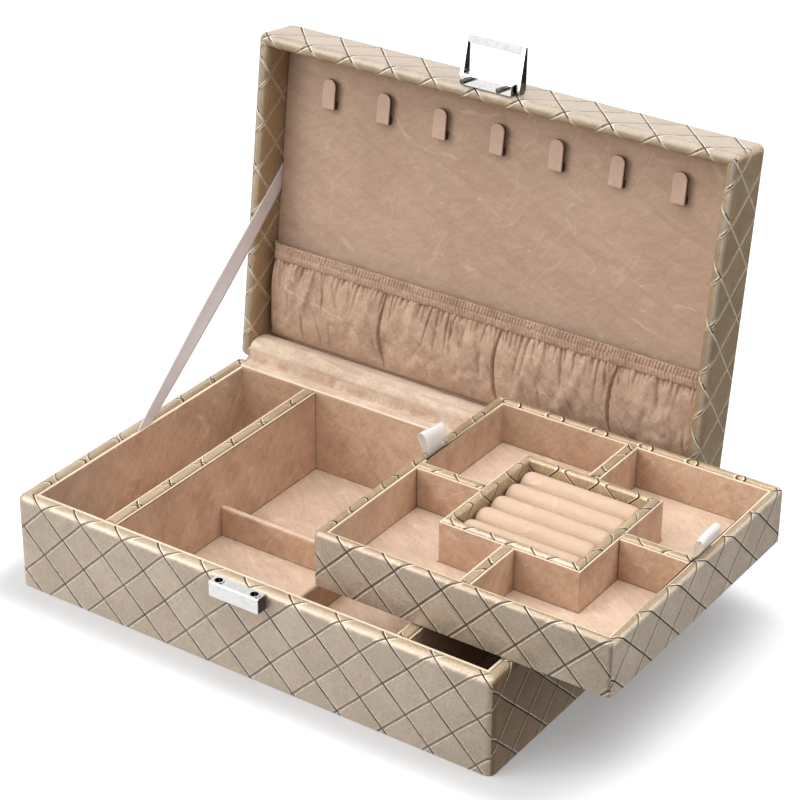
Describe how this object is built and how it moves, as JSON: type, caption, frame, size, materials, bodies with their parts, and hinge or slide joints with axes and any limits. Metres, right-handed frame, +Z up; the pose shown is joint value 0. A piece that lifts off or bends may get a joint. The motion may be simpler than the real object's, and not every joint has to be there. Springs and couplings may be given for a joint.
{
  "type": "jewellery box",
  "caption": "Rectangular leather-covered jewellery box with hinged lid, hook panel and gathered pocket, divided bays, swing hasp and lift-out ring tray.",
  "frame": {"origin": "centre of the base's underside, on the surface that the box stands on", "axes": "+X along the box to its right, -Y its front with the hasp, +Z up; the lid is open and the tray stands on the rims at rest"},
  "size_m": [0.3524, 0.2549, 0.2725],
  "materials": {
    "board": "raw board, hidden under leather and velvet",
    "champagne_leather": "satin, embossed with a diamond lattice",
    "velvet": "short pile",
    "roll_velvet": "short pile, padded",
    "suede_paper": "matt",
    "satin": "satin ribbon",
    "white_satin": "satin ribbon",
    "foam": "thin foam, hidden",
    "polished_metal": "polished",
    "dark_metal": "darkened"
  },
  "bodies": {
    "base": {"base_front_board": "board", "base_rear_board": "board", "base_left_board": "board", "base_right_board": "board", "base_bottom_board": "board", "base_bottom_cover": "suede_paper", "base_leather_wrap": "champagne_leather", "base_wall_liners": "velvet", "base_floor_liners": "velvet", "left_divider_board": "board", "right_divider_board": "board", "divider_liners": "velvet", "left_divider_cap": "champagne_leather", "right_divider_cap": "champagne_leather", "low_cross_divider": "velvet", "low_front_divider": "velvet", "catch_block": "polished_metal", "catch_screws": "dark_metal", "stay_ribbon": "satin", "hinge_leather_strip": "champagne_leather", "hinge_lining": "velvet"},
    "lid": {"lid_front_board": "board", "lid_rear_board": "board", "lid_left_board": "board", "lid_right_board": "board", "lid_top_board": "board", "lid_padding": "foam", "lid_leather_wrap": "champagne_leather", "lid_inner_panel": "velvet", "necklace_hooks": "velvet", "lid_pocket": "velvet", "pocket_elastic": "velvet", "latch_block": "polished_metal", "latch_pins": "dark_metal", "latch_pivot_pins": "dark_metal", "latch_screws": "dark_metal"},
    "latch_ring": {"latch_ring": "polished_metal"},
    "tray": {"tray_front_board": "board", "tray_rear_board": "board", "tray_left_board": "board", "tray_right_board": "board", "tray_floor_board": "board", "tray_bottom_cover": "suede_paper", "tray_leather_wrap": "champagne_leather", "tray_wall_liners": "velvet", "tray_floor_liners": "velvet", "tray_dividers": "board", "tray_divider_caps": "champagne_leather", "tray_divider_liners": "velvet", "ring_box_walls": "board", "ring_box_liners": "velvet", "ring_box_leather": "champagne_leather", "ring_rolls": "roll_velvet", "left_pull_loop": "white_satin", "right_pull_loop": "white_satin"}
  },
  "joints": [
    {"name": "lid_hinge", "type": "hinge", "parent": "base", "child": "lid", "pos_m": [0, 0.0966, 0.0562], "axis": [1, 0, 0], "range_deg": [0, 97.45], "deforming": ["stay_ribbon", "hinge_lining", "hinge_leather_strip"]},
    {"name": "latch_ring_pivot", "type": "hinge", "parent": "lid", "child": "latch_ring", "pos_m": [0, 0.12834, 0.25032], "axis": [1, 0, 0], "range_deg": [-90, 90]},
    {"name": "tray_slide", "type": "slide", "parent": "base", "child": "tray", "axis": [0.753, -0.658, 0], "range_m": [0, 0.22]}
  ],
  "couplings": [
    {"joint": "tray_slide", "follows": "lid_hinge", "m_per_rad": 0.128}
  ]
}
